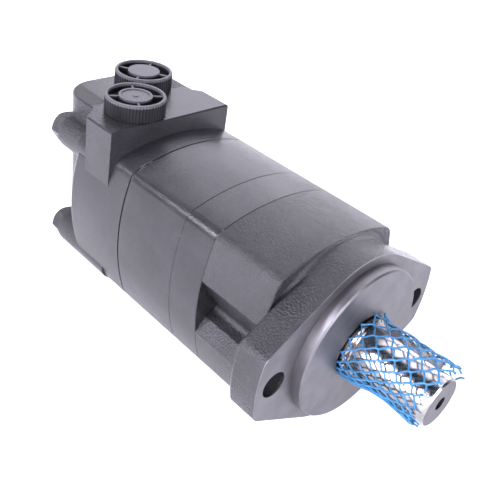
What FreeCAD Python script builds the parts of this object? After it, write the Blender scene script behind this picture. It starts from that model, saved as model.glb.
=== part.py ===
# Disc-valve hydraulic motor with a two-bolt flange, all sizes in millimetres.
# Frame: +X runs along the output shaft and out of its free end, +Z points to the
# port pad, and the origin is where the shaft axis meets the flange mounting face.
import FreeCAD, Part
import math
import os

V = FreeCAD.Vector
AXIS_X = V(1, 0, 0)

# ---- body sections, from the flange face backwards -------------------------------
flange_thickness = 17.0
housing_shoulder_x = -17.4
bearing_housing_rear_x = -59.0
wear_plate_rear_x = -80.0
geroler_rear_x = -113.0
valve_plate_rear_x = -125.2
valve_housing_shoulder_x = -175.5
valve_housing_rear_x = -206.0
shoulder_rear_fillet = 5.0

# ---- outline shared by every section ------------------------------------------------
body_half = 47.3
side_radius = 114.0
corner_radius = 8.0
joint_chamfer = 0.25
rear_joint_chamfer = 0.5

# ---- flange, pilot and the recesses beside the mounting bolts -----------------------
pilot_radius = 41.275
pilot_height = 6.3
pilot_chamfer = 0.8
flange_hub_radius = 46.3
flange_half_width = 64.0
lobe_corner_y = 61.8
lobe_corner_z = 17.6
lobe_corner_radius = 5.0
lobe_rear_fillet = 2.5
shoulder_edge_fillet = 0.8
hub_root_fillet = 3.0
flange_hole_spacing = 106.4
flange_hole_radius = 6.75
recess_top = (46.0, 15.4)
recess_valley = (32.0, -7.2)
recess_lip = (40.4, -9.2)
recess_foot = (46.2, -17.0)
recess_blend = 3.0

# ---- through bolts ---------------------------------------------------------------------
bolt_offset = 33.0
bolt_radius = 4.9
bolt_hole_radius = 5.4
bolt_tip_x = -27.0
bolt_seat_x = -192.5
bolt_head_height = 10.5
bolt_head_flats = 16.4
boss_radius = 10.0
boss_front_x = -145.2
boss_floor_z = 31.0
lower_relief_lead = 14.0

# ---- output shaft, key and net ------------------------------------------------------
shaft_end_x = 51.3
shaft_radius = 12.7
seal_land_radius = 15.9
seal_land_front_x = 9.0
collar_radius = 20.0
collar_front_x = -29.5
collar_rear_x = -36.5
spline_hub_radius = 18.0
shaft_rear_x = -58.5
shaft_thread_radius = 3.4
shaft_thread_depth = 20.0
key_width = 6.35
key_length = 32.0
key_end_gap = 5.5
key_top_radius = 15.5
key_seat_radius = 9.2
key_angle = 50.0
net_inner_radius = 14.7
net_outer_radius = 16.9
net_offset_y = 1.0
net_offset_z = 1.1
net_front_x = 48.8
net_rear_x = 9.6

# ---- housing bores and seals ---------------------------------------------------------
mouth_radius = 17.2
seal_bore_radius = 24.0
seal_bore_front_x = -2.0
bearing_bore_radius = 27.0
bearing_bore_front_x = -13.8
running_gap = 0.05

# ---- taper roller bearings -------------------------------------------------------------
front_bearing_x = -21.6
rear_bearing_x = -51.4
bearing_width = 14.6
bearing_pitch_radius = 21.9
bearing_taper = 10.0
bearing_roller_radius = 2.2
bearing_roller_length = 10.0
bearing_roller_count = 20

# ---- geroler ------------------------------------------------------------------------------
roller_count = 7
star_lobes = 6
roller_pitch_radius = 31.5
roller_radius = 6.8
orbit_radius = 2.9
ring_bore_radius = 31.1
face_gap = 0.1

# ---- splines of the drive link and the valve drive -----------------------------------
spline_teeth = 12
spline_bore_radius = 12.0
spline_slot_radius = 14.1
spline_slot_half = 1.75
tooth_root_radius = 11.1
tooth_tip_radius = 13.4
tooth_half = 1.2
link_front_x = -40.0
link_rear_x = -88.0
link_tooth_length = 11.0
link_shank_radius = 7.5
valve_drive_front_x = -105.0
valve_drive_rear_x = -134.0
valve_tooth_length = 7.0
spacer_x = -97.0

# ---- disc valve group -----------------------------------------------------------------
cavity_radius = 32.0
cavity_rear_x = -152.0
disc_radius = 30.4
disc_rear_x = -139.4
balance_ring_rear_x = -146.0
balance_ring_bore = 16.0
plate_port_radius = 28.6

# ---- port pad, ports and shipping caps ------------------------------------------------
pad_z = 56.7
pad_front_x = -140.6
pad_near_y = -43.4
pad_near_low_y = -45.3
pad_far_y = 38.8
pad_step_x = -163.8
pad_neck_half = 34.3
pad_rear_radius = 20.0
pad_edge_chamfer = 0.8
column_front_x = -155.0
column_low_z = -44.0
column_low_fillet = 6.0
outline_reach = 60.0
near_port = (-158.0, -16.0)
far_port = (-185.3, 9.9)
port_radius = 11.1
port_depth = 18.0
port_mouth_radius = 13.1
port_mouth_depth = 2.3
cap_radius = 17.0
cap_height = 10.0
cap_ribs = 60
cap_hub_radius = 9.3


def rod(x0, x1, radius, y=0.0, z=0.0):
    """Solid cylinder along X between two stations."""
    low = min(x0, x1)
    return Part.makeCylinder(radius, abs(x1 - x0), V(low, y, z), AXIS_X)


def ring(x0, x1, outer, inner, y=0.0, z=0.0):
    """Plain tube along X between two stations."""
    return rod(x0, x1, outer, y, z).cut(rod(x0, x1, inner, y, z))


def post(x, y, z0, z1, radius):
    """Upright cylinder."""
    return Part.makeCylinder(radius, z1 - z0, V(x, y, z0), V(0, 0, 1))


def block(x0, x1, y0, y1, z0, z1):
    """Box between two corners."""
    return Part.makeBox(x1 - x0, y1 - y0, z1 - z0, V(x0, y0, z0))


def turned(profile):
    """Solid of revolution about X from (x, radius) corners."""
    points = [V(x, 0, r) for x, r in profile]
    face = Part.Face(Part.makePolygon(points + [points[0]]))
    return face.revolve(V(0, 0, 0), AXIS_X, 360)


def slab(points, x0, x1):
    """Straight-sided plate from (y, z) corners between two stations."""
    corners = [V(x0, y, z) for y, z in points]
    face = Part.Face(Part.makePolygon(corners + [corners[0]]))
    return face.extrude(V(x1 - x0, 0, 0))


def turn_x(shape, degrees):
    """Copy of a shape turned about the X axis."""
    copy = shape.copy()
    copy.rotate(V(0, 0, 0), AXIS_X, degrees)
    return copy


def around(shape, count, start=0.0):
    """Copies of a shape spread evenly about the X axis."""
    return [turn_x(shape, start + 360.0 * i / count) for i in range(count)]


def fuse_all(shapes):
    """One solid from several overlapping ones."""
    return shapes[0].multiFuse(shapes[1:]).removeSplitter()


def cut_all(base, tools):
    """Base with every tool removed."""
    return base.cut(Part.makeCompound(tools))


def long_edges(shape):
    """Edges that run parallel to X."""
    picked = []
    for edge in shape.Edges:
        ends = [v.Point for v in edge.Vertexes]
        if len(ends) == 2 and ends[0].sub(ends[1]).cross(AXIS_X).Length < 1e-6:
            picked.append(edge)
    return picked


def face_edges(shape, x):
    """Edges that lie wholly in the plane at one station."""
    picked = []
    for edge in shape.Edges:
        box = edge.BoundBox
        if abs(box.XMin - x) < 1e-6 and abs(box.XMax - x) < 1e-6:
            picked.append(edge)
    return picked


def body_prism(x0, x1):
    """Length of the body outline: four bowed sides and rounded corners."""
    centre = side_radius - body_half
    corner = (-centre + math.sqrt(2 * side_radius ** 2 - centre ** 2)) / 2
    ends = [(corner, -corner), (corner, corner), (-corner, corner), (-corner, -corner)]
    mids = [(body_half, 0), (0, body_half), (-body_half, 0), (0, -body_half)]
    sides = []
    for i in range(4):
        a = ends[i]
        b = ends[(i + 1) % 4]
        arc = Part.Arc(V(x0, a[0], a[1]), V(x0, mids[i][0], mids[i][1]), V(x0, b[0], b[1]))
        sides.append(arc.toShape())
    prism = Part.Face(Part.Wire(sides)).extrude(V(x1 - x0, 0, 0))
    return prism.makeFillet(corner_radius, long_edges(prism))


def eased(prism, x, size):
    """Section with a small chamfer round its outline at one end."""
    return prism.makeChamfer(size, face_edges(prism, x))


def bolt_places():
    """Centres of the four through bolts."""
    s = bolt_offset
    return [(-s, -s), (-s, s), (s, -s), (s, s)]


def bolt_holes(x0, x1):
    """Clearance bores for the through bolts."""
    return [rod(x0, x1, bolt_hole_radius, y, z) for y, z in bolt_places()]


def spline_cutter(x0, x1):
    """Bore with evenly spaced slots, taken out of the splined parts."""
    tooth = block(x0, x1, -spline_slot_half, spline_slot_half, 0, spline_slot_radius)
    bore = rod(x0, x1, spline_bore_radius)
    return fuse_all([bore] + around(tooth, spline_teeth))


def spline_end(length, barrel_drop):
    """Barrelled male spline centred on the origin, axis along X."""
    half = length / 2
    bulge = (half ** 2 + barrel_drop ** 2) / (2 * barrel_drop)
    tooth = block(-half, half, -tooth_half, tooth_half, 0, tooth_tip_radius)
    core = rod(-half, half, tooth_root_radius)
    plain = fuse_all([core] + around(tooth, spline_teeth))
    rim = Part.Arc(
        V(-half, 0, tooth_tip_radius - barrel_drop),
        V(0, 0, tooth_tip_radius),
        V(half, 0, tooth_tip_radius - barrel_drop),
    ).toShape()
    low_a = V(-half, 0, 0)
    low_b = V(half, 0, 0)
    rise_a = Part.makeLine(low_a, V(-half, 0, tooth_tip_radius - barrel_drop))
    rise_b = Part.makeLine(V(half, 0, tooth_tip_radius - barrel_drop), low_b)
    floor = Part.makeLine(low_b, low_a)
    barrel = Part.Face(Part.Wire([rise_a, rim, rise_b, floor])).revolve(V(0, 0, 0), AXIS_X, 360)
    return plain.common(barrel)


def tilted(shape, x_near, x_far, near_offset, far_offset):
    """Lay a link built back along -X onto the line between its two spline centres."""
    angle = math.degrees(math.atan2(near_offset - far_offset, x_near - x_far))
    copy = shape.copy()
    copy.rotate(V(0, 0, 0), V(0, 0, 1), angle)
    copy.translate(V(x_near, near_offset, 0))
    return copy


def flange_plate():
    """Two-lobed mounting flange with rounded rear edges."""
    reach = math.hypot(lobe_corner_y, lobe_corner_z)
    lean = math.atan2(lobe_corner_z, lobe_corner_y) + math.acos(flange_hub_radius / reach)
    ty = flange_hub_radius * math.cos(lean)
    tz = flange_hub_radius * math.sin(lean)
    x = -flange_thickness
    top = Part.Arc(V(x, ty, tz), V(x, 0, flange_hub_radius), V(x, -ty, tz)).toShape()
    low = Part.Arc(V(x, -ty, -tz), V(x, 0, -flange_hub_radius), V(x, ty, -tz)).toShape()
    near = Part.Arc(
        V(x, -lobe_corner_y, lobe_corner_z),
        V(x, -flange_half_width, 0),
        V(x, -lobe_corner_y, -lobe_corner_z),
    ).toShape()
    far = Part.Arc(
        V(x, lobe_corner_y, -lobe_corner_z),
        V(x, flange_half_width, 0),
        V(x, lobe_corner_y, lobe_corner_z),
    ).toShape()
    lines = [
        Part.makeLine(V(x, -ty, tz), V(x, -lobe_corner_y, lobe_corner_z)),
        Part.makeLine(V(x, -lobe_corner_y, -lobe_corner_z), V(x, -ty, -tz)),
        Part.makeLine(V(x, ty, -tz), V(x, lobe_corner_y, -lobe_corner_z)),
        Part.makeLine(V(x, lobe_corner_y, lobe_corner_z), V(x, ty, tz)),
    ]
    outline = Part.Wire([top, lines[0], near, lines[1], low, lines[2], far, lines[3]])
    plate = Part.Face(outline).extrude(V(flange_thickness, 0, 0))
    plate = plate.makeFillet(lobe_corner_radius, lobe_corner_edges(plate))
    return plate.makeFillet(lobe_rear_fillet, face_edges(plate, x))


def lobe_corner_edges(plate):
    """Long edges at the four lobe corners."""
    return [e for e in long_edges(plate) if abs(abs(e.Vertexes[0].Point.y) - lobe_corner_y) < 1e-3]


def side_recess(sign):
    """Scoop in one side of the bearing housing that clears a mounting bolt's head."""
    points = [(64, 26), recess_top, recess_valley, recess_lip, recess_foot, (64, -30)]
    scoop = slab([(sign * y, z) for y, z in points], bearing_housing_rear_x - 1, -flange_thickness)
    soft = edges_through(scoop, [recess_top, recess_valley])
    scoop = scoop.makeFillet(recess_blend, soft)
    return scoop.makeFillet(shoulder_edge_fillet, edges_through(scoop, [recess_lip, recess_foot]))


def edges_through(shape, places):
    """Long edges whose distance from the X-Z plane and height match given corners."""
    picked = []
    for edge in long_edges(shape):
        at = edge.Vertexes[0].Point
        if any(math.hypot(abs(at.y) - y, at.z - z) < 1e-3 for y, z in places):
            picked.append(edge)
    return picked


def hub_root():
    """Concave blend where the square body's front face meets the flange hub."""
    front = housing_shoulder_x + hub_root_fillet
    rim = flange_hub_radius + hub_root_fillet
    web = ring(housing_shoulder_x, front, rim, flange_hub_radius - 0.5)
    round_off = Part.makeTorus(rim, hub_root_fillet, V(front, 0, 0), AXIS_X)
    return web.cut(round_off).common(body_prism(housing_shoulder_x, front))


def bearing_housing():
    """Cast front housing: flange, pilot, bearing bore and seal bores."""
    square = body_prism(bearing_housing_rear_x, housing_shoulder_x)
    square = square.makeFillet(shoulder_edge_fillet, face_edges(square, housing_shoulder_x))
    square = eased(square, bearing_housing_rear_x, joint_chamfer)
    hub = rod(housing_shoulder_x, -0.5, flange_hub_radius)
    back = fuse_all([square, hub, hub_root()])
    back = cut_all(back, [side_recess(1), side_recess(-1)])
    pilot = rod(-1.0, pilot_height, pilot_radius)
    pilot = pilot.makeChamfer(pilot_chamfer, face_edges(pilot, pilot_height))
    solid = fuse_all([back, flange_plate(), pilot])
    bores = [
        rod(-5.0, pilot_height + 1, mouth_radius),
        rod(1.0, 4.6, 20.5),
        rod(bearing_bore_front_x - 1, seal_bore_front_x, seal_bore_radius),
        rod(-13.7, -12.4, seal_bore_radius + 0.8),
        rod(bearing_housing_rear_x - 1, bearing_bore_front_x, bearing_bore_radius),
    ]
    half = flange_hole_spacing / 2
    holes = [rod(-flange_thickness - 1, 1, flange_hole_radius, s * half) for s in (-1, 1)]
    tap_front = bolt_tip_x + 3
    taps = [rod(bearing_housing_rear_x - 1, tap_front, bolt_radius, y, z) for y, z in bolt_places()]
    return cut_all(solid, bores + holes + taps)


def seal_groove(x, depth, radius, width):
    """Ring-shaped groove cut backwards or forwards from a joint face."""
    return ring(x, x + depth, radius + width / 2, radius - width / 2)


def wear_plate():
    """Thick plate between the bearing housing and the geroler."""
    plate = body_prism(wear_plate_rear_x, bearing_housing_rear_x)
    plate = eased(plate, bearing_housing_rear_x, joint_chamfer)
    plate = eased(plate, wear_plate_rear_x, joint_chamfer)
    cuts = bolt_holes(wear_plate_rear_x - 1, bearing_housing_rear_x + 1)
    cuts += [rod(wear_plate_rear_x - 1, bearing_housing_rear_x + 1, 16.5)]
    cuts += [seal_groove(bearing_housing_rear_x, -1.2, 30.5, 2.0)]
    cuts += [seal_groove(wear_plate_rear_x, 1.2, 39.6, 1.5)]
    cuts += pin_rods(wear_plate_rear_x - 1, wear_plate_rear_x + 8.0)
    return cut_all(plate, cuts)


def pin_rods(x0, x1):
    """The two dowels above and below the axis."""
    return [rod(x0, x1, 2.0, 0, s * 43.4) for s in (-1, 1)]


def geroler_ring():
    """Outer ring with half-round seats for the rollers."""
    body = body_prism(geroler_rear_x, wear_plate_rear_x)
    body = eased(body, wear_plate_rear_x, joint_chamfer)
    a = geroler_rear_x - 1
    b = wear_plate_rear_x + 1
    seat = rod(a, b, roller_radius + running_gap, roller_pitch_radius, 0)
    hollow = fuse_all([rod(a, b, ring_bore_radius)] + around(seat, roller_count))
    return cut_all(body, [hollow] + bolt_holes(a, b) + pin_rods(a, b))


def geroler_roller(index):
    """One roller in its seat."""
    angle = 2 * math.pi * index / roller_count
    y = roller_pitch_radius * math.cos(angle)
    z = roller_pitch_radius * math.sin(angle)
    return rod(geroler_rear_x + face_gap, wear_plate_rear_x - face_gap, roller_radius, y, z)


def star_point(t):
    """Point of the star outline: inward offset of the path of the roller centres."""
    big = roller_pitch_radius
    small = orbit_radius
    n = roller_count
    y = big * math.cos(t) - small * math.cos(n * t)
    z = big * math.sin(t) - small * math.sin(n * t)
    dy = -big * math.sin(t) + n * small * math.sin(n * t)
    dz = big * math.cos(t) - n * small * math.cos(n * t)
    step = (roller_radius + running_gap) / math.hypot(dy, dz)
    return y - dz * step, z + dy * step


def star():
    """Six-lobed inner rotor with its internal spline."""
    x = geroler_rear_x + face_gap
    steps = 24 * star_lobes
    points = []
    for i in range(steps):
        y, z = star_point(2 * math.pi * i / steps)
        points.append(V(x, y, z))
    curve = Part.BSplineCurve()
    curve.interpolate(Points=points, PeriodicFlag=True)
    face = Part.Face(Part.Wire([curve.toShape()]))
    length = wear_plate_rear_x - geroler_rear_x - 2 * face_gap
    solid = face.extrude(V(length, 0, 0)).cut(spline_cutter(x - 1, x + length + 1))
    solid.translate(V(0, orbit_radius, 0))
    return solid


def drive_spacer():
    """Loose puck between the two splined drives, inside the star."""
    return rod(spacer_x - 1.25, spacer_x + 1.25, 11.4, orbit_radius)


def splined_link(length, tooth_length, shank, barrel_drop, crown):
    """Dogbone drive from its front spline centre at the origin back along -X."""
    front = spline_end(tooth_length, barrel_drop)
    rear = front.copy()
    rear.translate(V(-length, 0, 0))
    half = tooth_length / 2
    middle = rod(-length, 0, shank)
    tips = [rod(half - 0.5, half + crown, 8.0), rod(-length - half - crown, -length - half + 0.5, 8.0)]
    return fuse_all([front, rear, middle] + tips)


def drive_link():
    """Long splined link from the output shaft to the star."""
    length = math.hypot(link_front_x - link_rear_x, orbit_radius)
    link = splined_link(length, link_tooth_length, link_shank_radius, 0.5, 1.5)
    return tilted(link, link_front_x, link_rear_x, 0, orbit_radius)


def valve_drive():
    """Short splined link from the star to the disc valve."""
    length = math.hypot(valve_drive_front_x - valve_drive_rear_x, orbit_radius)
    link = splined_link(length, valve_tooth_length, 7.0, 0.4, 1.2)
    return tilted(link, valve_drive_front_x, valve_drive_rear_x, orbit_radius, 0)


def valve_plate():
    """Ported plate between the geroler and the valve housing."""
    plate = body_prism(valve_plate_rear_x, geroler_rear_x)
    plate = eased(plate, valve_plate_rear_x, rear_joint_chamfer)
    a = valve_plate_rear_x - 1
    b = geroler_rear_x + 1
    port = block(a, b, plate_port_radius - 3.2, plate_port_radius + 2.2, -2.2, 2.2)
    port = port.makeFillet(1.5, long_edges(port))
    cuts = around(port, roller_count, 180.0 / roller_count)
    cuts += bolt_holes(a, b) + [rod(a, b, 16.5)]
    cuts += [seal_groove(geroler_rear_x, -1.2, 39.6, 1.5)]
    cuts += [seal_groove(valve_plate_rear_x, 1.2, 36.5, 2.0)]
    cuts += pin_rods(geroler_rear_x - 7.0, b)
    return cut_all(plate, cuts)


def pad_outline(z, near_y):
    """Port pad seen from above: wide in front, necked and rounded behind."""
    neck = pad_neck_half
    rear = valve_housing_rear_x
    near_step_x = pad_step_x + pad_near_y - near_y
    points = [(pad_front_x, near_y), (near_step_x, near_y)]
    points += [(pad_step_x + pad_near_y + neck, -neck), (rear, -neck), (rear, neck)]
    points += [(pad_step_x - (pad_far_y - neck), neck), (pad_step_x, pad_far_y), (pad_front_x, pad_far_y)]
    return Part.makePolygon([V(x, y, z) for x, y in points + [points[0]]])


def upright_edges(shape):
    """Edges that run parallel to Z."""
    picked = []
    for edge in shape.Edges:
        ends = [v.Point for v in edge.Vertexes]
        if len(ends) == 2 and ends[0].sub(ends[1]).cross(V(0, 0, 1)).Length < 1e-6:
            picked.append(edge)
    return picked


def port_block():
    """Raised block that carries the ports: drafted near side, rounded rear."""
    solid = Part.Face(pad_outline(0.0, pad_near_low_y)).extrude(V(0, 0, pad_z))
    section = [(pad_near_low_y, 0.0), (pad_near_y, pad_z), (outline_reach, pad_z), (outline_reach, 0.0)]
    solid = solid.common(slab(section, valve_housing_rear_x - 1, pad_front_x + 1))
    rear = [e for e in upright_edges(solid) if abs(e.Vertexes[0].Point.x - valve_housing_rear_x) < 1e-6]
    solid = solid.makeFillet(pad_rear_radius, rear)
    top = [e for e in solid.Edges if abs(e.BoundBox.ZMin - pad_z) < 1e-6]
    return solid.makeChamfer(pad_edge_chamfer, top)


def rear_column():
    """Rounded column under the rear half of the port pad."""
    neck = pad_neck_half
    column = block(valve_housing_rear_x, column_front_x, -neck, neck, column_low_z, 0)
    rear = [e for e in upright_edges(column) if abs(e.Vertexes[0].Point.x - valve_housing_rear_x) < 1e-6]
    column = column.makeFillet(pad_rear_radius, rear)
    return column.makeFillet(column_low_fillet, level_edges(column, column_low_z, column_front_x - 1))


def valve_housing():
    """Rear casting with the valve cavity, the ports and the four bolt bosses."""
    shoulder = body_prism(valve_housing_shoulder_x, valve_plate_rear_x)
    shoulder = shoulder.makeFillet(shoulder_rear_fillet, face_edges(shoulder, valve_housing_shoulder_x))
    shoulder = eased(shoulder, valve_plate_rear_x, rear_joint_chamfer)
    shoulder = cut_all(shoulder, [boss_relief(y, z) for y, z in bolt_places()])
    bosses = [rod(bolt_seat_x, boss_front_x, boss_radius, y, z) for y, z in bolt_places()]
    solid = fuse_all([shoulder, rear_column(), port_block()] + bosses)
    nx, ny = near_port
    fx, fy = far_port
    cuts = [rod(cavity_rear_x, valve_plate_rear_x + 1, cavity_radius)]
    for x, y in (near_port, far_port):
        cuts += [post(x, y, pad_z - port_depth, pad_z + 1, port_radius)]
        cuts += [post(x, y, pad_z - port_mouth_depth, pad_z + 1, port_mouth_radius)]
    cuts += [post(nx + 3.0, ny, 20.0, pad_z - port_depth + 1, 7.0)]
    cuts += [post(fx, fy, -6.0, pad_z - port_depth + 1, 6.5)]
    cuts += [rod(fx, cavity_rear_x + 1, 6.5, fy, 0)]
    cuts += bolt_holes(bolt_seat_x - 1, valve_plate_rear_x + 1)
    cuts += [rod(valve_housing_rear_x - 1, bolt_seat_x, boss_radius + 0.5, y, z) for y, z in bolt_places()]
    return cut_all(solid, cuts)


def level_edges(shape, z, rear_of):
    """Edges that lie wholly in one level plane and start behind a station."""
    picked = []
    for edge in shape.Edges:
        box = edge.BoundBox
        if abs(box.ZMin - z) < 1e-6 and abs(box.ZMax - z) < 1e-6 and box.XMin < rear_of:
            picked.append(edge)
    return picked


def boss_relief(y, z):
    """Corner of the rear casting taken back to leave a bolt boss standing."""
    front = pad_step_x if z > 0 else pad_step_x + lower_relief_lead
    box = block(valve_housing_rear_x, front, pad_neck_half, outline_reach, boss_floor_z, outline_reach)
    if y < 0:
        box = box.mirror(V(0, 0, 0), V(0, 1, 0))
    if z < 0:
        box = box.mirror(V(0, 0, 0), V(0, 0, 1))
    return box


def hexagon(x0, x1, flats, y, z):
    """Hexagonal bar along X."""
    radius = flats / math.sqrt(3)
    corners = []
    for i in range(6):
        angle = math.pi / 3 * i
        corners.append((y + radius * math.cos(angle), z + radius * math.sin(angle)))
    return slab(corners, x0, x1)


def body_bolts():
    """Four long bolts that clamp the sections, heads on the rear bosses."""
    bolts = []
    for y, z in bolt_places():
        head_end = bolt_seat_x - bolt_head_height
        head = hexagon(head_end, bolt_seat_x - 1.6, bolt_head_flats, y, z)
        crown = Part.makeCone(
            bolt_head_flats / 2 - 0.4, bolt_head_flats / 2 + 9.6, 10.0, V(head_end, y, z), AXIS_X
        )
        washer = rod(bolt_seat_x - 1.6, bolt_seat_x, 9.6, y, z)
        shank = rod(bolt_seat_x - 1, bolt_tip_x, bolt_radius, y, z)
        trim = fuse_all([crown, rod(head_end + 9.0, 0, 30.0, y, z)])
        bolts.append(fuse_all([head.common(trim), washer, shank]))
    return Part.makeCompound(bolts)


def body_seal(x, depth, radius, width):
    """Square-cut sealing ring that lies in a joint groove."""
    return ring(x, x + depth, radius + width / 2, radius - width / 2)


def locating_pins():
    """Dowels through the wear plate, geroler ring and valve plate."""
    return Part.makeCompound(pin_rods(geroler_rear_x - 6.8, wear_plate_rear_x + 7.8))


def output_shaft():
    """Keyed output shaft with a splined socket at its inner end."""
    profile = [
        (shaft_end_x, 0),
        (shaft_end_x, shaft_radius - 0.9),
        (shaft_end_x - 0.9, shaft_radius),
        (seal_land_front_x + 0.6, shaft_radius),
        (seal_land_front_x, shaft_radius + 0.6),
        (seal_land_front_x, seal_land_radius - 1.0),
        (seal_land_front_x - 1.0, seal_land_radius),
        (collar_front_x, seal_land_radius),
        (collar_front_x, collar_radius),
        (collar_rear_x, collar_radius),
        (collar_rear_x, spline_hub_radius),
        (shaft_rear_x, spline_hub_radius),
        (shaft_rear_x, 0),
    ]
    solid = turned(profile)
    socket = spline_cutter(shaft_rear_x - 1, link_front_x + 8.0)
    pilot_hole = rod(link_front_x + 7.0, link_front_x + 12.0, 9.0)
    thread = rod(shaft_end_x - shaft_thread_depth, shaft_end_x + 1, shaft_thread_radius)
    return cut_all(solid, [socket, pilot_hole, thread, key_blank(key_seat_radius)])


def key_blank(low):
    """Round-ended key laid along the shaft, turned to its seat."""
    end = shaft_end_x - key_end_gap
    half = key_width / 2
    bar = block(end - key_length + half, end - half, -half, half, low, key_top_radius)
    front = Part.makeCylinder(half, key_top_radius - low, V(end - half, 0, low), V(0, 0, 1))
    rear = Part.makeCylinder(half, key_top_radius - low, V(end - key_length + half, 0, low), V(0, 0, 1))
    return turn_x(fuse_all([bar, front, rear]), -key_angle)


def shaft_key():
    """Parallel key in the output shaft."""
    return key_blank(key_seat_radius)


def shaft_net():
    """Protective net sleeve as a plain tube, pushed off centre by the key."""
    return ring(net_rear_x, net_front_x, net_outer_radius, net_inner_radius, net_offset_y, net_offset_z)


def dust_seal():
    """Lip ring in the mouth of the pilot."""
    return ring(1.1, 4.5, 20.5, seal_land_radius + running_gap)


def shaft_seal():
    """Main pressure seal with a relieved rear face."""
    lip = seal_land_radius + running_gap
    profile = [(-2.1, lip), (-2.1, seal_bore_radius), (-9.6, seal_bore_radius), (-9.6, 21.5)]
    profile += [(-5.0, 20.5), (-5.0, 18.5), (-8.6, 17.4), (-8.6, lip)]
    return turned(profile)


def seal_backup_ring():
    """Steel ring that backs the shaft seal."""
    return ring(-12.3, -9.7, seal_bore_radius, 16.4)


def seal_retaining_ring():
    """Snap ring with a gap, sprung into its groove."""
    gap = block(-14.0, -12.0, -3.0, 3.0, -30.0, 0.0)
    return ring(-13.6, -12.5, seal_bore_radius + 0.7, 20.5).cut(gap)


def taper_radius(x, centre, direction, angle, mean):
    """Radius of a race cone at a station; the cones narrow towards direction."""
    return mean - direction * (x - centre) * math.tan(math.radians(angle))


def bearing_cone_angles():
    """Race angles that share the rollers' apex."""
    apex = bearing_pitch_radius / math.sin(math.radians(bearing_taper))
    half = math.degrees(math.asin(bearing_roller_radius / apex))
    return bearing_taper - half, bearing_taper + half


def bearing_inner(centre, direction, seat):
    """Inner race (cone) with a rib behind the large roller ends."""
    angle = bearing_cone_angles()[0]
    mean = bearing_pitch_radius - (bearing_roller_radius + 0.03) / math.cos(math.radians(angle))
    half = bearing_width / 2
    small = centre + direction * (bearing_roller_length / 2 + 1.2)
    rib = centre - direction * (bearing_roller_length / 2 + 0.5)
    back = centre - direction * half
    profile = [
        (back, seat),
        (back, mean + 2.4),
        (rib, mean + 2.4),
        (rib, taper_radius(rib, centre, direction, angle, mean)),
        (small, taper_radius(small, centre, direction, angle, mean)),
        (small, seat),
    ]
    return turned(profile)


def bearing_outer(centre, direction):
    """Outer race (cup) pressed into the housing bore."""
    angle = bearing_cone_angles()[1]
    mean = bearing_pitch_radius + (bearing_roller_radius + 0.03) / math.cos(math.radians(angle))
    half = bearing_width / 2
    a = centre - direction * (half - 1.0)
    b = centre + direction * half
    profile = [
        (a, taper_radius(a, centre, direction, angle, mean)),
        (b, taper_radius(b, centre, direction, angle, mean)),
        (b, bearing_bore_radius),
        (a, bearing_bore_radius),
    ]
    return turned(profile)


def bearing_roller(centre, direction, extra):
    """One tapered roller at the top of the bearing; extra swells it for the cage cut."""
    apex = bearing_pitch_radius / math.sin(math.radians(bearing_taper))
    slope = bearing_roller_radius / apex
    half = bearing_roller_length / 2 + extra
    axis = V(direction * math.cos(math.radians(bearing_taper)), 0, -math.sin(math.radians(bearing_taper)))
    start = V(centre, 0, bearing_pitch_radius).sub(axis * half)
    big = bearing_roller_radius + slope * half + extra
    small = bearing_roller_radius - slope * half + extra
    return Part.makeCone(big, small, 2 * half, start, axis)


def bearing_rollers(centre, direction):
    """The full set of tapered rollers."""
    return Part.makeCompound(around(bearing_roller(centre, direction, 0.0), bearing_roller_count))


def bearing_cage(centre, direction):
    """Conical pocketed cage between the races."""
    half = bearing_roller_length / 2 + 1.1
    thick = 0.45
    ends = []
    for x in (centre - half, centre + half):
        ends.append((x, taper_radius(x, centre, direction, bearing_taper, bearing_pitch_radius)))
    low = [(x, r - thick) for x, r in ends]
    high = [(x, r + thick) for x, r in reversed(ends)]
    pockets = around(bearing_roller(centre, direction, 0.12), bearing_roller_count)
    return cut_all(turned(low + high), pockets)


def disc_valve():
    """Rotating disc valve with alternating slots and its drive spline."""
    front = valve_plate_rear_x - face_gap
    profile = [
        (front, 0),
        (front, disc_radius),
        (front - 4.5, disc_radius),
        (front - 4.5, disc_radius - 2.6),
        (front - 8.5, disc_radius - 2.6),
        (front - 8.5, disc_radius),
        (disc_rear_x, disc_radius),
        (disc_rear_x, 0),
    ]
    disc = turned(profile)
    slot = block(front - 6.0, front + 1, plate_port_radius - 3.6, plate_port_radius + 4.0, -2.0, 2.0)
    inner = block(front - 6.0, front + 1, 17.0, plate_port_radius + 0.8, -2.0, 2.0)
    cuts = around(slot, star_lobes) + around(inner, star_lobes, 180.0 / star_lobes)
    return cut_all(disc, cuts + [spline_cutter(disc_rear_x - 1, front + 1)])


def balance_ring():
    """Ring that presses the disc valve against the valve plate."""
    front = disc_rear_x - face_gap
    profile = [
        (front, balance_ring_bore),
        (front, cavity_radius - 0.1),
        (front - 3.0, cavity_radius - 0.1),
        (front - 3.0, cavity_radius - 1.7),
        (front - 5.0, cavity_radius - 1.7),
        (front - 5.0, cavity_radius - 0.1),
        (balance_ring_rear_x, cavity_radius - 0.1),
        (balance_ring_rear_x, balance_ring_bore),
    ]
    pins = [rod(balance_ring_rear_x - 1, balance_ring_rear_x + 3.0, 1.5, *place) for place in pin_places()]
    return cut_all(turned(profile), pins)


def pin_places():
    """Centres of the two anti-rotation pins."""
    return [(24.0, 0.0), (-24.0, 0.0)]


def balance_pins():
    """Pins that keep the balance ring from turning."""
    pins = [rod(cavity_rear_x, balance_ring_rear_x + 2.9, 1.4, y, z) for y, z in pin_places()]
    return Part.makeCompound(pins)


def balance_ring_seal():
    """Square-cut ring in the rim groove of the balance ring."""
    front = disc_rear_x - face_gap
    return ring(front - 4.9, front - 3.1, cavity_radius, cavity_radius - 1.6)


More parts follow.
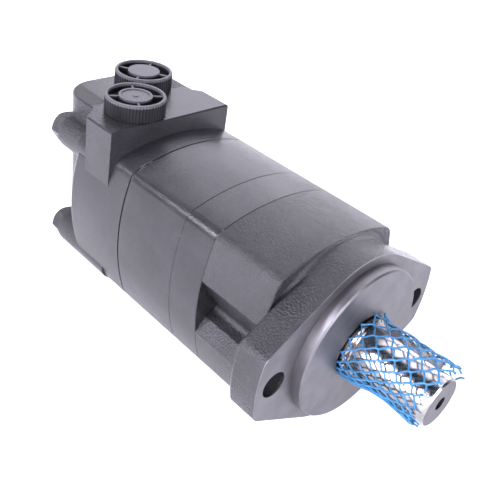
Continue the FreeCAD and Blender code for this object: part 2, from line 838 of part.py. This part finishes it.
def balance_springs():
    """Small coil springs behind the balance ring."""
    wire = 0.45
    length = balance_ring_rear_x - cavity_rear_x - 2 * wire - 0.1
    path = Part.makeHelix(length / 3.0, length, 2.2)
    outline = Part.Wire([Part.Circle(V(2.2, 0, 0), V(0, 1, 0), wire).toShape()])
    coil = Part.Wire(path.Edges).makePipeShell([outline], True, True)
    coil.rotate(V(0, 0, 0), V(0, 1, 0), 90)
    coil.translate(V(cavity_rear_x + wire + 0.05, 0, 0))
    springs = []
    for angle in (30, 150, 210, 330):
        spring = coil.copy()
        y = 24.0 * math.cos(math.radians(angle))
        z = 24.0 * math.sin(math.radians(angle))
        spring.translate(V(0, y, z))
        springs.append(spring)
    return Part.makeCompound(springs)


def port_cap(place, spoke_turn, dished):
    """Shipping cap: plug in the port and a ribbed head with four spokes."""
    x, y = place
    count = 2 * cap_ribs
    corners = []
    for i in range(count):
        radius = cap_radius if i % 2 == 0 else cap_radius - 0.45
        angle = 2 * math.pi * i / count
        corners.append(V(x + radius * math.cos(angle), y + radius * math.sin(angle), pad_z + 0.3))
    skirt = Part.Face(Part.makePolygon(corners + [corners[0]])).extrude(V(0, 0, cap_height - 0.9))
    rim = post(x, y, pad_z + cap_height - 0.7, pad_z + cap_height, cap_radius - 0.5)
    plug = post(x, y, pad_z - port_depth + 3.0, pad_z + 1, port_radius - 0.07)
    neck = post(x, y, pad_z - port_mouth_depth - 0.2, pad_z + 0.4, port_radius + 1).cut(
        post(x, y, pad_z - port_mouth_depth - 0.3, pad_z + 0.5, port_radius - 0.6)
    )
    wells = post(x, y, pad_z + cap_height - 4.0, pad_z + cap_height + 1, cap_radius - 1.8)
    hub = post(x, y, pad_z + cap_height - 4.5, pad_z + cap_height - 0.3, cap_hub_radius)
    if dished:
        hub = hub.cut(post(x, y, pad_z + cap_height - 0.9, pad_z + cap_height, cap_hub_radius - 1.2))
        hub = hub.fuse(post(x, y, pad_z + cap_height - 1.0, pad_z + cap_height - 0.5, 1.6))
    reach = cap_radius - 1
    top = pad_z + cap_height
    arm = block(x - reach, x + reach, y - 0.55, y + 0.55, top - 4.5, top - 0.9)
    spokes = []
    for turn in (spoke_turn, spoke_turn + 90):
        spoke = arm.copy()
        spoke.rotate(V(x, y, 0), V(0, 0, 1), turn)
        spokes.append(spoke)
    shell = fuse_all([skirt, rim, plug]).cut(neck).cut(wells)
    return fuse_all([shell, hub] + spokes)


def cap_seal(place):
    """O-ring under the head of a shipping cap."""
    x, y = place
    return Part.makeTorus(port_radius + 0.75, 1.05, V(x, y, pad_z - 1.15), V(0, 0, 1))


def write(name, shape):
    """Save one sub-part as a STEP file."""
    shape.exportStep(os.path.join("parts", name + ".step"))


def build():
    """Make and save every sub-part."""
    write("bearing_housing", bearing_housing())
    write("wear_plate", wear_plate())
    write("geroler_ring", geroler_ring())
    write("valve_plate", valve_plate())
    write("valve_housing", valve_housing())
    write("body_bolts", body_bolts())
    write("body_seal_front", body_seal(bearing_housing_rear_x, -1.2, 30.5, 2.0))
    write("body_seal_wear_plate", body_seal(wear_plate_rear_x, 1.2, 39.6, 1.5))
    write("body_seal_valve_plate", body_seal(geroler_rear_x, -1.2, 39.6, 1.5))
    write("body_seal_rear", body_seal(valve_plate_rear_x, 1.2, 36.5, 2.0))
    write("locating_pins", locating_pins())
    write("dust_seal", dust_seal())
    write("shaft_seal", shaft_seal())
    write("seal_backup_ring", seal_backup_ring())
    write("seal_retaining_ring", seal_retaining_ring())
    write("output_shaft", output_shaft())
    write("shaft_key", shaft_key())
    write("shaft_net", shaft_net())
    for name, centre, direction, seat in (
        ("front_bearing", front_bearing_x, 1, seal_land_radius),
        ("rear_bearing", rear_bearing_x, -1, spline_hub_radius),
    ):
        write(name + "_cup", bearing_outer(centre, direction))
        write(name + "_cone", bearing_inner(centre, direction, seat))
        write(name + "_rollers", bearing_rollers(centre, direction))
        write(name + "_cage", bearing_cage(centre, direction))
    write("drive_link", drive_link())
    write("star", star())
    write("drive_spacer", drive_spacer())
    for i in range(roller_count):
        write("roller_%d" % (i + 1), geroler_roller(i))
    write("valve_drive", valve_drive())
    write("disc_valve", disc_valve())
    write("balance_ring", balance_ring())
    write("balance_ring_seal", balance_ring_seal())
    write("balance_pins", balance_pins())
    write("balance_springs", balance_springs())
    write("port_cap_near", port_cap(near_port, 62.0, True))
    write("port_cap_far", port_cap(far_port, 35.0, False))
    write("cap_seal_near", cap_seal(near_port))
    write("cap_seal_far", cap_seal(far_port))


os.makedirs("parts", exist_ok=True)
build()
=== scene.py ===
"""Looks of a disc-valve hydraulic motor: painted castings, bare flange, shaft, net and caps."""
import math
import random

import bmesh
import bpy
from mathutils import Matrix, Vector, noise


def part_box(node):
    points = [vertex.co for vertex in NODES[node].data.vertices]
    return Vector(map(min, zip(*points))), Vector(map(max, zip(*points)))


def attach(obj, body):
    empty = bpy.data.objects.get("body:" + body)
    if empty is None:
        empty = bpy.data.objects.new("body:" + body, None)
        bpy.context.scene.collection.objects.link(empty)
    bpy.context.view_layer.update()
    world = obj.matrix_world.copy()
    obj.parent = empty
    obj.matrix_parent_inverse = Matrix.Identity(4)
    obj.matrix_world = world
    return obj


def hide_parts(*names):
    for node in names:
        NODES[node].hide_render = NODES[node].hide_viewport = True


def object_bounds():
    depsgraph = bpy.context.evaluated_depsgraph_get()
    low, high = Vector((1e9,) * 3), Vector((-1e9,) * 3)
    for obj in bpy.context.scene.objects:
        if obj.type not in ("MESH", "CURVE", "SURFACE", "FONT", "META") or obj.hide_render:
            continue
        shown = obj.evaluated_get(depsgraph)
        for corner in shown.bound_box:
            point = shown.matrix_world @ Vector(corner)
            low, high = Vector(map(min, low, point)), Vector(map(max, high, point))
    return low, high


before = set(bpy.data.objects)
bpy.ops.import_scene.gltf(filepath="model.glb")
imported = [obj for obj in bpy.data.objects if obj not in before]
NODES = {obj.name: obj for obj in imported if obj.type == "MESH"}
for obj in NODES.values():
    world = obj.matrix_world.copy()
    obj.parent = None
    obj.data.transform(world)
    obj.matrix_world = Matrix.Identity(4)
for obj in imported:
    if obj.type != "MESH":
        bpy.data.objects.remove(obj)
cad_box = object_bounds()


class Shade:
    """One principled material, with short ways to add nodes to it."""

    def __init__(self, name, metallic=0.0, specular=0.5):
        self.material = bpy.data.materials.new(name)
        self.material.use_nodes = True
        self.tree = self.material.node_tree
        self.tree.nodes.clear()
        out = self.tree.nodes.new("ShaderNodeOutputMaterial")
        self.shader = self.tree.nodes.new("ShaderNodeBsdfPrincipled")
        self.tree.links.new(self.shader.outputs[0], out.inputs[0])
        self.shader.inputs["Metallic"].default_value = metallic
        self.shader.inputs["Specular IOR Level"].default_value = specular
        self.place = self.add("TexCoord").outputs["Object"]

    def add(self, kind, inputs=None, **settings):
        """A node of one kind with its settings and inputs; a socket as an input is linked."""
        node = self.tree.nodes.new("ShaderNode" + kind)
        for key, value in settings.items():
            setattr(node, key, value)
        for key, value in (inputs or {}).items():
            self.put(node.inputs[key], value)
        return node

    def put(self, socket, value):
        """Link or set one input."""
        if isinstance(value, bpy.types.NodeSocket):
            self.tree.links.new(value, socket)
        else:
            socket.default_value = value

    def math(self, operation, a, b=0.0):
        """One arithmetic step."""
        return self.add("Math", {0: a, 1: b}, operation=operation).outputs[0]

    def spread(self, value, low, high, to_low=0.0, to_high=1.0):
        """Value carried from one range to another, smoothly and clamped."""
        inputs = {"Value": value, "From Min": low, "From Max": high,
                  "To Min": to_low, "To Max": to_high}
        return self.add("MapRange", inputs, interpolation_type="SMOOTHSTEP").outputs[0]

    def noise(self, size, detail=2.0, place=None, rough=0.5):
        """Soft noise whose features are about one size, in metres."""
        inputs = {"Vector": place or self.place, "Scale": 1.0 / size,
                  "Detail": detail, "Roughness": rough}
        return self.add("TexNoise", inputs).outputs["Fac"]

    def cells(self, size):
        """Distance to the nearest of many scattered points, as for pebbled grain."""
        inputs = {"Vector": self.place, "Scale": 1.0 / size, "Smoothness": 0.6}
        return self.add("TexVoronoi", inputs, feature="SMOOTH_F1").outputs["Distance"]

    def blend(self, factor, a, b):
        """Colour between two colours."""
        node = self.add("Mix", {0: factor}, data_type="RGBA")
        self.put(node.inputs[6], a)
        self.put(node.inputs[7], b)
        return node.outputs[2]

    def between(self, factor, a, b):
        """Number between two numbers."""
        return self.add("Mix", {0: factor, 2: a, 3: b}, data_type="FLOAT").outputs[0]

    def axis(self, index):
        """One coordinate of the place on the object."""
        return self.add("SeparateXYZ", {0: self.place}).outputs[index]

    def bend(self, factor, a, b):
        """Normal between two normals."""
        return self.add("Mix", {0: factor, 4: a, 5: b}, data_type="VECTOR").outputs[1]

    def radius(self):
        """Distance from the shaft axis."""
        inputs = {0: self.place, 1: (0.0, 1.0, 1.0)}
        flat = self.add("VectorMath", inputs, operation="MULTIPLY").outputs[0]
        return self.add("VectorMath", {0: flat}, operation="LENGTH").outputs["Value"]

    def bump(self, height, distance, strength=1.0, normal=None):
        """Surface relief of one depth, in metres."""
        inputs = {"Height": height, "Distance": distance, "Strength": strength}
        if normal is not None:
            inputs["Normal"] = normal
        return self.add("Bump", inputs).outputs[0]

    def finish(self, colour, rough, normal=None):
        """Connect the look to the shader."""
        self.put(self.shader.inputs["Base Color"], colour)
        self.put(self.shader.inputs["Roughness"], rough)
        if normal is not None:
            self.put(self.shader.inputs["Normal"], normal)
        return self.material


def rgb(r, g, b):
    """Opaque colour."""
    return (r, g, b, 1.0)


# Joints between the sections, and faces that the looks start from.
REAR_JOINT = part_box("valve_housing")[1].x
WEAR_JOINT, FRONT_JOINT = (corner.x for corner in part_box("wear_plate"))
SHAFT_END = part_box("output_shaft")[1].x
CAP_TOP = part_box("port_cap_near")[1].z
FLANGE_SKIN = 0.00045
SHAFT_END_SKIN = 0.0001
CAP_TOP_FADE = (0.0019, 0.0011)

# Paint: cloudy tone with fine specks, patchy gloss and a slow wave.
PAINT_DARK = rgb(0.019, 0.019, 0.021)
PAINT_LIGHT = rgb(0.028, 0.028, 0.031)
PAINT_GLOSS = 0.42
CLOUD_SIZE = 0.02
CLOUD_SHARE = 0.6
SPECK_SIZE = 0.0012
GLOSS_PATCH = 0.006
WAVE_SIZE = 0.012
WAVE_DEPTH = 0.00025

# Chipped paint and painted highlight at the joints: patch size, noise level where it starts, and the
# radii it fades over.
CHIP_AND_HIGHLIGHT = rgb(0.11, 0.11, 0.115)
CHIP_SIZE = 0.0035
CHIP_LEVEL = 0.62
CHIP_SOFTNESS = 0.04
CHIP_RADII = (0.0500, 0.0545)

# Painted shade in the open seam at the rear joint: half width and its soft edge, and where its near
# side ends.
SEAM_SHADE = rgb(0.003, 0.003, 0.003)
SEAM_SHADE_GLOSS = 0.02
SEAM_SHADE_WIDTH = (0.00035, 0.0006)
SEAM_SHADE_NEAR_SIDE = (-0.045, -0.036)
SEAM_SHADE_FAR_SHARE = 0.35

# Rough bosses of the rear casting: where they start along X and away from the middle planes.
BOSS_START = (-0.1755, -0.1725)
BOSS_INSET = (0.0215, 0.024)
BOSS_GRAIN_SIZE = 0.0012
BOSS_GRAIN_DEPTH = 0.0007

# Machined metal.
IRON_DARK = rgb(0.15, 0.146, 0.155)
IRON_LIGHT = rgb(0.19, 0.185, 0.195)
IRON_CLOUD = 0.011
IRON_RING = 0.0007
IRON_RING_DEPTH = 0.00002
MARK_SIZE = 0.0004
MARK_DEPTH = 0.000004
SHAFT_MARK_DEPTH = 0.000005
GRINDING_STRETCH = (1.0, 8.0, 8.0)


def grain_relief(shade, size, depth, normal):
    """Pebbled skin of a sand casting under paint."""
    coarse = shade.cells(size)
    fine = shade.noise(size * 0.4, 3.0, rough=0.65)
    height = shade.math("ADD", coarse, fine)
    return shade.bump(height, depth, 1.0, normal)


def paint(name, grain_depth, grain_size, rough_low, rough_high):
    """Satin dark grey paint over cast iron, with the casting's grain showing through."""
    shade = Shade(name, specular=PAINT_GLOSS)
    cloud = shade.math("MULTIPLY", shade.noise(CLOUD_SIZE, 3.0), CLOUD_SHARE)
    speck = shade.math("MULTIPLY", shade.noise(SPECK_SIZE), 1.0 - CLOUD_SHARE)
    tone = shade.spread(shade.math("ADD", cloud, speck), 0.35, 0.65)
    colour = shade.blend(tone, PAINT_DARK, PAINT_LIGHT)
    rough = shade.between(shade.noise(GLOSS_PATCH, 3.0), rough_low, rough_high)
    wave = shade.bump(shade.noise(WAVE_SIZE), WAVE_DEPTH, 0.5)
    normal = grain_relief(shade, grain_size, grain_depth, wave)
    return shade, colour, rough, normal


def joint_wear_and_highlight(shade, colour, x, width, amount):
    """Paler patches along the outer edge of one joint between sections: chipped paint, and a painted
    highlight on the joint edge.
    """
    away = shade.math("ABSOLUTE", shade.math("SUBTRACT", shade.axis(0), x))
    near = shade.spread(away, width * 0.4, width, 1.0, 0.0)
    start = CHIP_LEVEL - amount
    patch = shade.spread(shade.noise(CHIP_SIZE, 4.0), start, start + CHIP_SOFTNESS)
    corner = shade.spread(shade.radius(), *CHIP_RADII)
    chipped_and_lit = shade.math("MULTIPLY", near, shade.math("MULTIPLY", patch, corner))
    return shade.blend(chipped_and_lit, colour, CHIP_AND_HIGHLIGHT)


def rear_seam_shade(shade):
    """Painted shade along the gap where the rear casting meets the valve plate, widest on the near
    side.
    """
    away = shade.math("ABSOLUTE", shade.math("SUBTRACT", shade.axis(0), REAR_JOINT))
    side = shade.spread(shade.axis(1), *SEAM_SHADE_NEAR_SIDE, 1.0, SEAM_SHADE_FAR_SHARE)
    return shade.math("MULTIPLY", shade.spread(away, *SEAM_SHADE_WIDTH, 1.0, 0.0), side)


def boss_grain(shade, normal):
    """Normal that turns rough on the cast bosses behind the shoulder."""
    behind = shade.spread(shade.axis(0), *BOSS_START, 1.0, 0.0)
    outside = shade.spread(shade.math("ABSOLUTE", shade.axis(1)), *BOSS_INSET)
    corner = shade.spread(shade.math("ABSOLUTE", shade.axis(2)), *BOSS_INSET)
    mask = shade.math("MULTIPLY", behind, shade.math("MULTIPLY", outside, corner))
    grain = grain_relief(shade, BOSS_GRAIN_SIZE, BOSS_GRAIN_DEPTH, normal)
    return shade.bend(mask, normal, grain)


def turning_place(shade):
    """Coordinates that change only along a turned surface, on barrels and faces alike."""
    along = shade.math("ADD", shade.axis(0), shade.radius())
    return shade.add("CombineXYZ", {0: along}).outputs[0]


def bare_iron(shade):
    """Colour, roughness and normal of a machined iron face."""
    cloud = shade.spread(shade.noise(IRON_CLOUD, 4.0), 0.3, 0.7)
    ring = shade.noise(IRON_RING, place=turning_place(shade))
    colour = shade.blend(cloud, IRON_DARK, IRON_LIGHT)
    return colour, shade.between(ring, 0.40, 0.55), shade.bump(ring, IRON_RING_DEPTH, 0.5)


def housing_material():
    """Rough painted casting whose flange face and pilot are machined bare."""
    shade, colour, rough, normal = paint("rough_cast_paint", 0.00028, 0.0011, 0.15, 0.23)
    iron, iron_rough, iron_normal = bare_iron(shade)
    bare = shade.math("GREATER_THAN", shade.axis(0), -FLANGE_SKIN)
    shade.put(shade.shader.inputs["Metallic"], bare)
    return shade.finish(shade.blend(bare, colour, iron), shade.between(bare, rough, iron_rough),
                        shade.bend(bare, normal, iron_normal))


def plate_material(name, grain_depth, bosses=False):
    """Painted machined section: smooth satin with a faint waviness, rough only on cast bosses."""
    shade, colour, rough, normal = paint(name, grain_depth, 0.0009, 0.16, 0.25)
    if bosses:
        normal = boss_grain(shade, normal)
    # Paler patches at each joint: partly chipped paint, partly a painted highlight on the joint edges.
    for joint, width, amount in ((REAR_JOINT, 0.0013, 0.10), (FRONT_JOINT, 0.0006, 0.0),
                                 (WEAR_JOINT, 0.0006, 0.0)):
        colour = joint_wear_and_highlight(shade, colour, joint, width, amount)
    # Painted shade: the rear seam turns near black with almost no gloss.
    seam_shade = rear_seam_shade(shade)
    gloss = shade.between(seam_shade, PAINT_GLOSS, SEAM_SHADE_GLOSS)
    shade.put(shade.shader.inputs["Specular IOR Level"], gloss)
    return shade.finish(shade.blend(seam_shade, colour, SEAM_SHADE), rough, normal)


def steel(name, low, high, rough_low, rough_high, turned=True):
    """Machined steel with turning or grinding marks and light staining."""
    shade = Shade(name, metallic=1.0)
    if turned:
        place = turning_place(shade)
    else:
        place = shade.add("Mapping", {0: shade.place, 3: GRINDING_STRETCH}).outputs[0]
    marks = shade.noise(MARK_SIZE, place=place)
    stain = shade.spread(shade.noise(0.007, 4.0), 0.35, 0.7)
    rough = shade.between(marks, rough_low, rough_high)
    return shade.finish(shade.blend(stain, low, high), rough, shade.bump(marks, MARK_DEPTH, 0.7))


def shaft_material():
    """Ground shaft barrel with a duller faced end, whose colour is darkened as painted shade."""
    shade = Shade("ground_shaft_steel", metallic=1.0)
    marks = shade.noise(MARK_SIZE, place=turning_place(shade))
    stain = shade.spread(shade.noise(0.006, 4.0), 0.35, 0.7)
    barrel = shade.blend(stain, rgb(0.30, 0.295, 0.29), rgb(0.44, 0.435, 0.43))
    # Painted shade: the faced end gets a much darker copy of the steel colour, besides its rougher
    # finish.
    faced_shaded = shade.blend(stain, rgb(0.11, 0.11, 0.117), rgb(0.135, 0.135, 0.143))
    end = shade.math("GREATER_THAN", shade.axis(0), SHAFT_END - SHAFT_END_SKIN)
    barrel_rough = shade.between(marks, 0.16, 0.28)
    faced_rough = shade.between(marks, 0.42, 0.55)
    return shade.finish(shade.blend(end, barrel, faced_shaded), shade.between(end, barrel_rough, faced_rough),
                        shade.bump(marks, SHAFT_MARK_DEPTH, 0.7))


def moulded(name, low, high, rough, grain_size, grain_depth):
    """Moulded plastic or rubber with a fine grain."""
    shade = Shade(name, specular=0.45)
    colour = shade.blend(shade.spread(shade.noise(0.004, 3.0), 0.3, 0.7), low, high)
    roughness = shade.between(shade.noise(grain_size * 2), rough - 0.06, rough + 0.08)
    return shade.finish(colour, roughness, shade.bump(shade.noise(grain_size), grain_depth, 0.6))


def cap_material():
    """Moulded cap: dark below, and paler on the top edges of the rim, hub and spokes, set by height.
    """
    shade = Shade("cap_plastic", specular=0.22)
    dark = shade.blend(shade.noise(0.004, 3.0), rgb(0.005, 0.005, 0.006), rgb(0.010, 0.010, 0.011))
    pale = shade.blend(shade.noise(0.003, 3.0), rgb(0.065, 0.065, 0.07), rgb(0.105, 0.105, 0.113))
    top = shade.spread(shade.axis(2), *(CAP_TOP - drop for drop in CAP_TOP_FADE))
    normal = shade.bump(shade.noise(0.0006), 0.00003, 0.6)
    return shade.finish(shade.blend(top, dark, pale), shade.between(top, 0.5, 0.36), normal)


def coat(material, *names):
    """Give CAD nodes one material."""
    for name in names:
        for slot in NODES[name].material_slots:
            slot.material = material


def both_bearings(*parts):
    """Names of some parts in the front and in the rear bearing."""
    return ["%s_bearing_%s" % (end, part) for end in ("front", "rear") for part in parts]


coat(housing_material(), "bearing_housing")
coat(plate_material("plate_paint", 0.00006), "wear_plate", "geroler_ring", "valve_plate")
coat(plate_material("block_paint", 0.00009, bosses=True), "valve_housing")
coat(plate_material("bolt_paint", 0.0005), "body_bolts")
coat(shaft_material(), "output_shaft")
coat(steel("key_bar_steel", rgb(0.6, 0.59, 0.58), rgb(0.75, 0.74, 0.73), 0.2, 0.34, turned=False),
     "shaft_key")
coat(steel("bearing_steel", rgb(0.55, 0.55, 0.56), rgb(0.68, 0.68, 0.69), 0.1, 0.2),
     *both_bearings("cup", "cone", "rollers"))
coat(steel("pressed_cage_steel", rgb(0.42, 0.39, 0.33), rgb(0.55, 0.5, 0.42), 0.3, 0.45, turned=False),
     *both_bearings("cage"))
coat(steel("lapped_steel", rgb(0.5, 0.5, 0.51), rgb(0.62, 0.62, 0.63), 0.18, 0.3),
     "star", "disc_valve", "balance_ring", *["roller_%d" % (i + 1) for i in range(7)])
coat(steel("drive_steel", rgb(0.2, 0.2, 0.2), rgb(0.32, 0.31, 0.3), 0.35, 0.5),
     "drive_link", "valve_drive", "drive_spacer", "seal_backup_ring")
coat(steel("spring_steel", rgb(0.35, 0.34, 0.33), rgb(0.5, 0.49, 0.47), 0.25, 0.4, turned=False),
     "balance_springs", "balance_pins", "locating_pins", "seal_retaining_ring")
coat(moulded("seal_rubber", rgb(0.012, 0.012, 0.012), rgb(0.03, 0.03, 0.03), 0.5, 0.0006, 0.00002),
     "body_seal_front", "body_seal_wear_plate", "body_seal_valve_plate", "body_seal_rear",
     "dust_seal", "shaft_seal", "balance_ring_seal", "cap_seal_near", "cap_seal_far")
coat(cap_material(), "port_cap_near", "port_cap_far")


def tube(mesh, points, radius, sides=6):
    """Add one closed round strand through a row of points to a mesh under construction."""
    rings = []
    last = len(points) - 1
    for i, point in enumerate(points):
        ahead = (points[min(i + 1, last)] - points[max(i - 1, 0)]).normalized()
        side = ahead.cross(Vector((0.31, 0.77, 0.56))).normalized()
        up = side.cross(ahead)
        rings.append([
            mesh.verts.new(point + radius * (math.cos(a) * side + math.sin(a) * up))
            for a in (2 * math.pi * k / sides for k in range(sides))
        ])
    for a, b in zip(rings, rings[1:]):
        for k in range(sides):
            mesh.faces.new((a[k], a[(k + 1) % sides], b[(k + 1) % sides], b[k]))
    mesh.faces.new(list(reversed(rings[0])))
    mesh.faces.new(rings[-1])


def level(x, steps):
    """Value at x on a row of (x, value) steps, straight between them."""
    for (x0, a), (x1, b) in zip(steps, steps[1:]):
        if x <= x1:
            return a + (b - a) * max(0.0, (x - x0) / (x1 - x0))
    return steps[-1][1]


NET_SEED = 7
NET_STRANDS = 18
NET_ROWS = 10
NET_STEPS = 8  # points of a strand in each row
NET_RADIUS = (0.00042, 0.00054)  # of one strand, thinnest and thickest
NET_LIFT = 0.00022  # half the step between the two families
NET_BUNDLE = math.radians(221.0)  # side where the net is gathered
NET_CROWDING = 0.60
NET_REAR, NET_REAR_SLIP = 0.0070, 0.0012
NET_FRONT, NET_FRONT_SLIP = 0.0512, 0.0042
NET_CLEAR = 0.0135  # smallest radius, outside the shaft
NET_DRIFT_SCALE = 75.0
NET_DRIFT_TURN = 0.075
NET_DRIFT_OUT = 0.0007
NET_DRIFT_ALONG = 0.0014
# Radius along the shaft on the open and on the gathered side, as (x, radius).
NET_OPEN_SIDE = [(0.0065, 0.0194), (0.009, 0.0176), (0.013, 0.0164), (0.018, 0.0166),
                 (0.030, 0.0174), (0.051, 0.0178)]
NET_GATHERED_SIDE = [(0.0055, 0.0165), (0.009, 0.0168), (0.014, 0.0160), (0.022, 0.0145),
                     (0.031, 0.0137), (0.040, 0.0143), (0.051, 0.0158)]


def net_place(u, v, lift):
    """Point of the net: u goes round it, v along it, lift is a small step outwards."""
    turn = NET_BUNDLE + math.pi + 2 * math.pi * u + NET_CROWDING * math.sin(2 * math.pi * u)
    gathered = (1 + math.cos(turn - NET_BUNDLE)) / 2
    rear = NET_REAR - NET_REAR_SLIP * gathered ** 2
    front = NET_FRONT - NET_FRONT_SLIP * gathered
    x = rear + (front - rear) * v
    spot = Vector((x * NET_DRIFT_SCALE, 1.7 * math.sin(turn), 1.7 * math.cos(turn) + 4.0))
    drift = noise.noise_vector(spot) * min(1.0, 6.0 * v)
    turn += NET_DRIFT_TURN * drift.x
    radius = (1 - gathered) * level(x, NET_OPEN_SIDE) + gathered * level(x, NET_GATHERED_SIDE)
    radius = max(radius + NET_DRIFT_OUT * drift.y, NET_CLEAR) + lift
    x += NET_DRIFT_ALONG * drift.z
    return Vector((x, radius * math.sin(turn), radius * math.cos(turn)))


def strand(i, family, last):
    """Points of one strand, which swings from its own line to the next one in each row."""
    points = []
    for k in range(last + 1):
        row = k / NET_STEPS
        whole = math.floor(row)
        swing = (1 - math.cos(math.pi * (row - whole))) / 2
        u = (i + family * 0.5 * (whole + swing)) / NET_STRANDS
        points.append(net_place(u, row / NET_ROWS, NET_LIFT * family))
    return points


def net_sleeve():
    """Extruded net sleeve: two families of strands that meet at every row and part between rows."""
    rnd = random.Random(NET_SEED)
    noise.seed_set(NET_SEED)  # left alone, this noise starts from the clock
    mesh = bmesh.new()
    for family in (1, -1):
        for i in range(NET_STRANDS):
            last = NET_ROWS * NET_STEPS + rnd.randint(-3, 2)
            tube(mesh, strand(i, family, last), rnd.uniform(*NET_RADIUS))
    data = bpy.data.meshes.new("net_sleeve")
    mesh.to_mesh(data)
    mesh.free()
    for face in data.polygons:
        face.use_smooth = True
    net = bpy.data.objects.new("net_sleeve", data)
    bpy.context.scene.collection.objects.link(net)
    data.materials.append(moulded("net_plastic", rgb(0.018, 0.12, 0.27), rgb(0.035, 0.19, 0.36),
                                  0.38, 0.0008, 0.00002))
    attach(net, "net")
    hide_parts("shaft_net")


net_sleeve()


SURROUND = rgb(0.96, 0.95, 1.0)
LIGHT_TINT = (0.89, 0.87, 1.0)
LIGHT_AIM = Vector((-0.08, 0.0, 0.0))


def outward(azimuth, elevation):
    """Unit vector towards a light or the camera, from angles in degrees."""
    a, e = math.radians(azimuth), math.radians(elevation)
    return Vector((math.sin(a) * math.cos(e), -math.cos(a) * math.cos(e), math.sin(e)))


def floor():
    """Wide pale floor under the motor, which glows more with distance to meet the backdrop."""
    size = 15.0
    z = cad_box[0].z - 0.0005
    corners = [(-size, -size, z), (size, -size, z), (size, size, z), (-size, size, z)]
    mesh = bpy.data.meshes.new("studio_floor")
    mesh.from_pydata(corners, [], [(0, 1, 2, 3)])
    obj = bpy.data.objects.new("studio_floor", mesh)
    bpy.context.scene.collection.objects.link(obj)
    shade = Shade("floor_white", specular=0.1)
    tone = shade.blend(shade.noise(0.4), rgb(0.78, 0.78, 0.79), rgb(0.82, 0.82, 0.83))
    shade.finish(tone, 0.9)
    shade.shader.inputs["Emission Color"].default_value = SURROUND
    away = shade.add("VectorMath", {0: shade.place}, operation="LENGTH").outputs["Value"]
    shade.put(shade.shader.inputs["Emission Strength"], shade.spread(away, 0.8, 2.0, 0.5, 1.1))
    mesh.materials.append(shade.material)


def soft_box(name, azimuth, elevation, watts, size=0.9, distance=1.6):
    """Square area light that faces the motor from one direction."""
    light = bpy.data.lights.new(name, "AREA")
    light.shape = "RECTANGLE"
    light.size = size
    light.size_y = size
    light.energy = watts
    light.color = LIGHT_TINT
    obj = bpy.data.objects.new(name, light)
    back = outward(azimuth, elevation)
    obj.location = LIGHT_AIM + back * distance
    obj.rotation_mode = "QUATERNION"
    obj.rotation_quaternion = back.to_track_quat("Z", "Y")
    obj.visible_camera = False
    bpy.context.scene.collection.objects.link(obj)


def backdrop():
    """World that is bright near the horizon and dim overhead."""
    world = bpy.data.worlds.new("studio")
    world.use_nodes = True
    tree = world.node_tree
    background = tree.nodes["Background"]
    background.inputs["Color"].default_value = SURROUND
    direction = tree.nodes.new("ShaderNodeTexCoord")
    parts = tree.nodes.new("ShaderNodeSeparateXYZ")
    fade = tree.nodes.new("ShaderNodeMapRange")
    for key, value in {"From Min": 0.05, "From Max": 0.25, "To Min": 0.9, "To Max": 0.02}.items():
        fade.inputs[key].default_value = value
    tree.links.new(direction.outputs["Generated"], parts.inputs[0])
    tree.links.new(parts.outputs[2], fade.inputs["Value"])
    tree.links.new(fade.outputs[0], background.inputs["Strength"])
    bpy.context.scene.world = world


def studio():
    """Soft studio light: strong boxes at the near side and the shaft end, weaker ones round them."""
    backdrop()
    soft_box("rear_end_box", -90.0, 35.0, 5.3)
    soft_box("near_side_box", 0.0, 12.0, 40.0)
    soft_box("near_corner_box", -28.0, 35.0, 24.0, 0.35)
    soft_box("far_side_box", 180.0, 12.0, 12.3)
    soft_box("far_wall_box", 195.0, 35.0, 7.8)
    soft_box("far_corner_low_box", 225.0, 12.0, 3.9)
    soft_box("far_corner_box", 225.0, 35.0, 6.5)
    soft_box("far_corner_high_box", 225.0, 62.0, 9.0)
    soft_box("front_corner_box", 45.0, 35.0, 12.5)
    soft_box("shaft_end_box", 90.0, 12.0, 34.0)


CAMERA_PLACE = (0.12994, -0.2378, 0.22051)
CAMERA_AZIMUTH = 43.1006  # degrees from -Y towards +X
CAMERA_ELEVATION = 32.5468
CAMERA_ROLL = 8.5516
CAMERA_LENS = 50.867


def camera():
    """Camera at the product view: high, from the shaft end."""
    data = bpy.data.cameras.new("camera")
    data.sensor_width = 36.0
    data.lens = CAMERA_LENS
    data.shift_x = 0.05
    data.shift_y = -0.05
    data.clip_start = 0.01
    data.clip_end = 60.0
    azimuth, roll = math.radians(CAMERA_AZIMUTH), math.radians(CAMERA_ROLL)
    back = outward(CAMERA_AZIMUTH, CAMERA_ELEVATION)
    right = Vector((math.cos(azimuth), math.sin(azimuth), 0.0))
    up = back.cross(right)
    side = math.cos(roll) * right + math.sin(roll) * up
    top = -math.sin(roll) * right + math.cos(roll) * up
    turn = Matrix((side, top, back)).transposed().to_4x4()
    obj = bpy.data.objects.new("camera", data)
    obj.matrix_world = Matrix.Translation(CAMERA_PLACE) @ turn
    bpy.context.scene.collection.objects.link(obj)
    bpy.context.scene.camera = obj


floor()
studio()
camera()
bpy.context.scene.view_settings.view_transform = "Standard"
